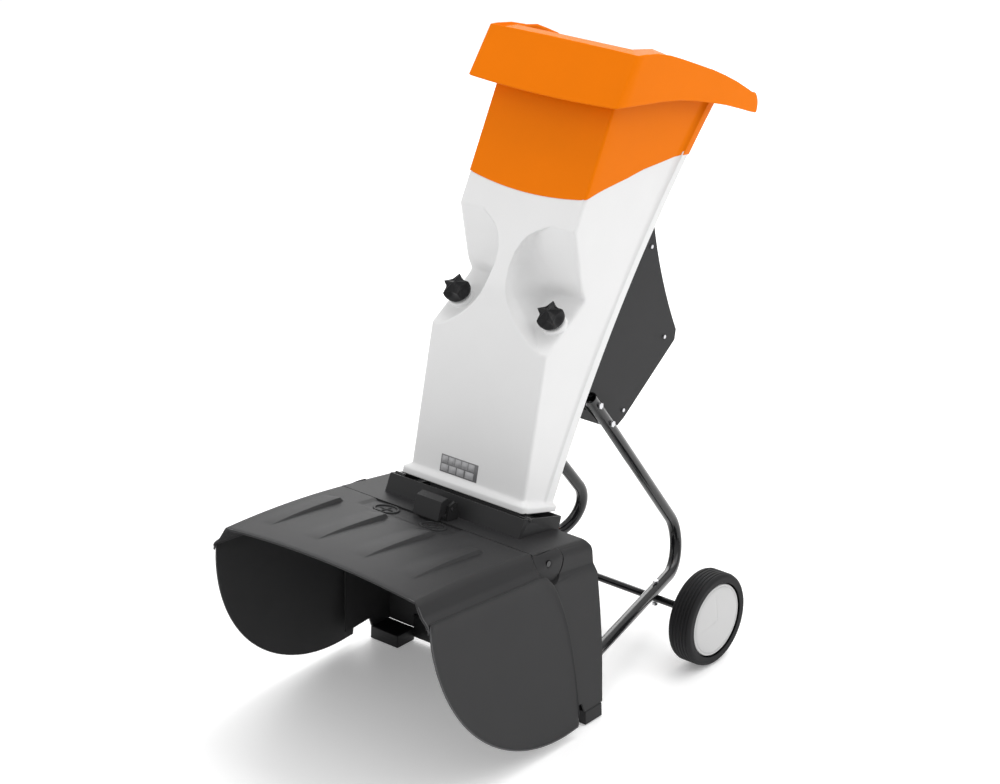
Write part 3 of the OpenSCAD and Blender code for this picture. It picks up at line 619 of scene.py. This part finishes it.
# the ears round the hinge carry the shoulder's shape on to the box, each with its open pin hole
# the shoulder's width by height where the flap ends
SHOULDER_FLAP = [
    (-43, 263), (-12, 263), (-5, 262.5), (0, 261), (4.5, 258.5), (10.5, 255), (15.5, 252), (19.5, 249.6),
    (27, 246),
]
EAR_R = 42.6


def ear_x(y, z):
    """The ear's outer face, blended from the flap's shoulder into the box's."""
    t = smooth((y - SEAM) / (EAR_R - 6 - SEAM))
    rise = z - 5.4 + 0.08 * (y - SEAM)
    box = 264.4 if rise < 0 else 242.4 + math.sqrt(max(0.0, 484 - rise**2))
    return max(249.6, table(SHOULDER_FLAP, z) * (1 - t) + box * t)


HOLE_R = 6.6
# how far each ring, by its share of the way out, dips at the hole's and the ear's edge
EAR_RINGS = (
    (0.0, 1.3), (0.03, 0.3), (0.1, 0.0), (0.22, 0.0), (0.36, 0.0), (0.5, 0.0), (0.64, 0.0), (0.78, 0.0),
    (0.88, 0.0), (0.95, 0.0), (0.985, 0.3), (1.0, 1.0),
)

for side, name in ((1, "flap_ear_right"), (-1, "flap_ear_left")):
    spokes = []
    for a in spread(0, 360, 96)[:-1]:
        c, s = math.cos(math.radians(a)), math.sin(math.radians(a))
        reach = EAR_R
        if c < 0 and reach * c < SEAM + 0.3:
            reach = (SEAM + 0.3) / c
        for _ in range(6):
            ceiling = 19.6 + 1.2 * smooth((reach * c - SEAM) / (EAR_R - SEAM))
            if reach * s > ceiling:
                reach = ceiling / s
        spokes.append((c, s, reach))
    rows = []
    for share, dip in EAR_RINGS:
        row = []
        for c, s, reach in spokes:
            r = lerp(HOLE_R, reach, share)
            row.append(from_flap(side * (ear_x(r * c, r * s) - dip), r * c, r * s))
        rows.append(row)
    ear_mesh = grid_mesh(name, rows, closed=True, flip=side > 0)
    thicken(add_object(name, ear_mesh, "flap", "charcoal_plastic"), 2.4)


def mark(name, cx, cy):
    """A plain ring with a cross bar, raised from the flap beside the latch."""
    bm = bmesh.new()
    squash, steps = 0.86, 56
    rings = [(29.0, 0.1), (28.6, 2.2), (27.6, 2.9), (24.4, 2.9), (23.4, 2.2), (23.0, 0.1)]
    loops = []
    for r, h in rings:
        loop = []
        for i in range(steps):
            a = 2 * math.pi * i / steps
            x, y = cx + r * math.cos(a), cy + squash * r * math.sin(a)
            loop.append(bm.verts.new([c * MM for c in from_flap(x, y, TOP + flap_height(x, y) + h)]))
        loops.append(loop)
    for la, lb in zip(loops, loops[1:]):
        for i in range(steps):
            bm.faces.new((la[i], la[(i + 1) % steps], lb[(i + 1) % steps], lb[i]))
    for x0, x1, y0, y1 in ((-16, 16, -2.0, 2.0), (-2.2, 2.2, -15, 15)):
        top_face, low_face = [], []
        for x, y in ((x0, y0), (x1, y0), (x1, y1), (x0, y1)):
            px, py = cx + x, cy + y * squash
            low_face.append(bm.verts.new([c * MM for c in from_flap(px, py, TOP + flap_height(px, py) + 0.1)]))
            top_face.append(bm.verts.new([c * MM for c in from_flap(px, py, TOP + flap_height(px, py) + 1.2)]))
        bm.faces.new(top_face)
        for i in range(4):
            bm.faces.new((low_face[i], low_face[(i + 1) % 4], top_face[(i + 1) % 4], top_face[i]))
    return add_object(name, mesh_from(bm, name), "flap", "charcoal_plastic")


mark("flap_mark_a", -101, -64)
mark("flap_mark_b", 22, -64)

# ---------------------------------------------------------------- plastic and metal parts with rounded edges


def collar_corner(e, a, b):
    """The collar's upright corners."""
    upright = abs(a.y - b.y) < abs(a.z - b.z)
    return upright and all(174 < abs(p.x) < 176 and 380 < p.z < 438 for p in (a, b))


def collar_foot(e, a, b):
    """Where the collar meets the top of the box."""
    for p in (a, b):
        if not (abs(p.x) < 190 and -200 < p.y < -40 and abs(p.z - 409.4 + (p.y + 231.5) * 0.159) < 2.0):
            return False
    return e.calc_face_angle_signed(0) < -0.3


def rear_shoulder(e, a, b):
    """The long edge between the box's top and its rear wall."""
    return all(-76 < p.y < -60 and 368 < p.z < 388 for p in (a, b)) and abs(a.x - b.x) > 200


WIDE = [(collar_corner, 15.0), (rear_shoulder, 18.0), (collar_foot, 9.0)]
refine("discharge_box", "base", "charcoal_plastic", 2.6, wide=WIDE)
SKIRT = [(-61.5, 62.0), (-55.2, 62.0), (-55.2, 9.0), (-61.5, 9.0)]
add_object("box_skirt", prism("box_skirt", SKIRT, -212, 212), "base", "charcoal_plastic")
for node, body, slot_name, width in (
    ("motor_housing", "base", "charcoal_plastic", 5.0),
    ("foot_left", "base", "black_plastic", 2.5),
    ("foot_right", "base", "black_plastic", 2.5),
    ("latch", "latch_arm", "charcoal_plastic", 1.6),
    ("latch_bracket", "base", "charcoal_plastic", 1.2),
    ("switch_box", "base", "black_plastic", 2.0),
    ("power_inlet", "base", "black_plastic", 1.0),
    ("button_on", "start_button", "start_green", 1.2),
    ("button_off", "stop_button", "stop_red", 1.2),
    ("frame_bolts", "base", "zinc_steel", 0.7),
    ("axle_bolts", "base", "zinc_steel", 0.6),
):
    refine(node, body, slot_name, width)

# ---------------------------------------------------------------- wheels
AXLE = (266.0, 100.0)


def tyre_profile():
    """The tyre's section as (r, h): rounded walls and five ribs."""
    w0, w1 = -56.0, 0.0
    pts = [
        (80.2, w0 + 1.0), (84.0, w0), (90.0, w0 + 0.6), (92.0, w0 + 0.1), (95.0, w0 + 1.2),
        (98.0, w0 + 4.0), (99.2, w0 + 7.0),
    ]
    start, pitch = w0 + 8.4, 7.95
    for i in range(5):
        a = start + i * pitch
        rib = ((100.0, 0.7), (100.0, 5.0), (99.4, 5.5), (97.8, 5.8), (97.8, 7.2), (99.4, 7.6))
        pts += [(r, a + h) for r, h in rib]
    pts += [
        (99.2, w1 - 7.0), (98.0, w1 - 4.0), (95.0, w1 - 1.2), (92.0, w1 - 0.1), (90.0, w1 - 0.6),
        (84.0, w1), (80.2, w1 - 1.0),
    ]
    return pts


def cap_shape(r, h, a):
    """Two faint creases run from the middle of the cap."""
    if 4 < r < 62:
        for at in (0.9, 2.5):
            d = abs((a - at + math.pi) % (2 * math.pi) - math.pi) * r
            h -= 0.9 * (1 - smooth(d / 4.0))
    return r, h


for side, name in ((-1, "left"), (1, "right")):
    origin = (side * 337.0, *AXLE)
    mesh = revolve("tyre_" + name + "_looks", tyre_profile(), origin, (side, 0, 0), 120)
    add_object("tyre_" + name + "_looks", mesh, "wheel_" + name, "tyre", ("tyre_" + name,))
    profile = [
        (77.4, -11.5), (77.5, -4.6), (77.0, -3.6), (76.0, -3.1), (74.0, -3.0), (73.2, -3.4), (72.6, -4.2),
        (71.8, -4.2), (71.0, -3.2), (69.5, -2.5),
    ]
    profile += [(r, -2.4 * (r / 69.5) ** 2 - 0.05) for r in (64, 56, 48, 40, 32, 24, 16, 8, 3, 0.2)]
    mesh = revolve("cap_" + name, profile, origin, (side, 0, 0), 120, cap_shape)
    cap = add_object("hub_cap_" + name + "_looks", mesh, "wheel_" + name, "cap_plastic", ("hub_cap_" + name,))
    thicken(cap, 2.0)

# ---------------------------------------------------------------- knobs on their bosses
TILT = math.radians(57.6)
KNOB_AXIS = Vector((0, -math.cos(TILT), math.sin(TILT)))


def star(r, h, a):
    """Five points with scooped flanks that fade out towards the round base."""
    u = abs((a * 5 / (2 * math.pi) + 0.25) % 1.0 - 0.5) * 2
    scoop = 1 - u**2
    deep = 0.38 * smooth((h + 15) / 20) * smooth((r - 7) / 9)
    return r * (1 - deep * scoop), h - (3.4 * scoop if h > 11 and r > 4 else 0.0)


for side, name in ((-1, "left"), (1, "right")):
    origin = Vector((side * 120.0, -23.0, 806.0))
    profile = [
        (4.0, -17.0), (14.0, -17.0), (19.5, -16.2), (22.5, -13.6), (24.2, -10.0), (25.2, -6.0),
        (25.8, -1.0), (26.0, 4.0), (26.0, 8.0), (25.6, 10.6),
    ]
    profile += [
        (24.4, 11.8), (21.5, 12.9), (18.0, 13.9), (14.0, 15.0), (10.0, 16.0), (6.0, 16.7), (2.0, 17.0),
        (0.1, 17.0),
    ]
    profile = [(r * (1.0 if r < 12 else 1.13), h) for r, h in profile]
    mesh = revolve("knob_" + name + "_grip", profile, origin, KNOB_AXIS, 100, star)
    add_object("knob_" + name + "_grip", mesh, "locking_knob_" + name, "black_plastic", ("knob_" + name,))
    profile = [(4.0, -17.0), (4.0, -86.0), (0.1, -86.0)]
    mesh = revolve("knob_" + name + "_bolt", profile, origin, KNOB_AXIS, 40)
    add_object("knob_" + name + "_bolt", mesh, "locking_knob_" + name, "zinc_steel")
    profile = [
        (4.6, -64.0), (22.2, -64.0), (25.8, -36.0), (25.6, -24.5), (25.0, -22.4), (23.2, -21.2),
        (20.0, -20.8), (8.0, -20.8), (4.6, -20.9), (4.6, -64.0),
    ]
    mesh = revolve("boss_" + name, profile, origin, KNOB_AXIS, 72)
    add_object("knob_boss_" + name + "_looks", mesh, "chute", "white_plastic", ("knob_boss_" + name,))

# ---------------------------------------------------------------- plain rating plate with blank fields
PLATE_Z = 477.0


def plate_box(bm, x0, x1, z0, z1, low, high):
    """A flat block on the chute's front, between two heights above its face."""
    n = Vector((0, -math.cos(FRONT_LEAN), math.sin(FRONT_LEAN)))
    up = Vector((0, math.sin(FRONT_LEAN), math.cos(FRONT_LEAN)))
    centre = Vector((-24.0, KNEE_Y + (PLATE_Z - KNEE_Z) * LEAN, PLATE_Z))
    corners = []
    for h in (low, high):
        for x, z in ((x0, z0), (x1, z0), (x1, z1), (x0, z1)):
            p = centre + Vector((x, 0, 0)) + up * z + n * h
            corners.append(bm.verts.new(p * MM))
    bm.faces.new(corners[4:])
    for i in range(4):
        bm.faces.new((corners[i], corners[(i + 1) % 4], corners[4 + (i + 1) % 4], corners[4 + i]))


bm = bmesh.new()
plate_box(bm, -48, 48, -18, 18, -0.3, 0.35)
add_object("plate_base", mesh_from(bm, "plate_base"), "chute", "label_plate", ("rating_label",))
bm = bmesh.new()
for i in range(5):
    left = -45.5 + i * 17.2
    plate_box(bm, left, left + 15.2, 1.5, 15.5, 0.3, 0.55)
for i in range(3):
    left = -45.5 + i * 20.5
    plate_box(bm, left, left + 18.0, -15.5, -1.5, 0.3, 0.55)
plate_box(bm, 17.5, 38.5, -15.5, -1.5, 0.3, 0.55)
add_object("plate_fields", mesh_from(bm, "plate_fields"), "chute", "label_plate", material=MAT["plate_light"])

# ---------------------------------------------------------------- floor, lights, camera
floor_mat = bpy.data.materials.new("floor_white")
floor_mat.use_nodes = True
floor_bsdf = floor_mat.node_tree.nodes["Principled BSDF"]
floor_bsdf.inputs["Base Color"].default_value = (0.93, 0.93, 0.93, 1)
floor_bsdf.inputs["Roughness"].default_value = 0.6
floor_bsdf.inputs["Emission Color"].default_value = (1, 1, 1, 1)
floor_bsdf.inputs["Emission Strength"].default_value = 0.22
REACH = 14000
floor_rows = [[(x, y, -1.2) for x in (-REACH, REACH)] for y in (-REACH, REACH)]
floor_mesh = grid_mesh("floor", floor_rows)
floor_mesh.materials.append(floor_mat)
floor = bpy.data.objects.new("floor", floor_mesh)
bpy.context.scene.collection.objects.link(floor)

world = bpy.data.worlds.new("studio")
bpy.context.scene.world = world
world.use_nodes = True
sky, sky_links = world.node_tree.nodes, world.node_tree.links
seen = sky.new("ShaderNodeLightPath")
where = sky.new("ShaderNodeTexCoord")
split = sky.new("ShaderNodeSeparateXYZ")
rise = sky.new("ShaderNodeMapRange")
rise.inputs["From Min"].default_value = 0.0
rise.inputs["From Max"].default_value = 1.0
rise.inputs["To Min"].default_value = 0.42
rise.inputs["To Max"].default_value = 1.0
pick = sky.new("ShaderNodeMix")
pick.inputs["B"].default_value = 1.05
sky_links.new(where.outputs["Generated"], split.inputs["Vector"])
sky_links.new(split.outputs["Z"], rise.inputs["Value"])
sky_links.new(rise.outputs["Result"], pick.inputs["A"])
sky_links.new(seen.outputs["Is Camera Ray"], pick.inputs["Factor"])
sky_links.new(pick.outputs["Result"], sky["Background"].inputs["Strength"])
sky["Background"].inputs["Color"].default_value = (1, 1, 1, 1)


def area_light(name, location, target, size, power):
    """A rectangular light in metres and watts, turned to a target."""
    light = bpy.data.lights.new(name, "AREA")
    light.shape = "RECTANGLE"
    light.size, light.size_y = size
    light.energy = power
    obj = bpy.data.objects.new(name, light)
    obj.location = location
    obj.rotation_mode = "QUATERNION"
    obj.rotation_quaternion = (Vector(target) - Vector(location)).to_track_quat("-Z", "Y")
    bpy.context.scene.collection.objects.link(obj)


area_light("key", (3.0, 1.6, 3.6), (0, 0, 0.6), (2.8, 2.8), 38)
area_light("rear", (-2.6, 3.2, 2.0), (0, 0, 0.5), (3.2, 2.6), 60)
area_light("fill", (-2.2, -4.0, 2.0), (0, 0, 0.6), (3.0, 3.0), 34)
area_light("top", (0.2, 1.6, 4.4), (0, 0, 0.4), (3.2, 3.2), 80)

camera = bpy.data.cameras.new("camera")
camera.lens = 98.64
camera.sensor_width = 36.0
camera.clip_end = 100.0
cam_obj = bpy.data.objects.new("camera", camera)
cam_obj.location = (3.233, -3.884, 2.718)
# it looks 22.68 degrees down from 40 degrees to the machine's side
cam_obj.rotation_euler = (math.radians(90 - 22.68), 0.0, math.radians(40.0))
bpy.context.scene.collection.objects.link(cam_obj)
bpy.context.scene.camera = cam_obj
bpy.context.scene.view_settings.view_transform = "Standard"
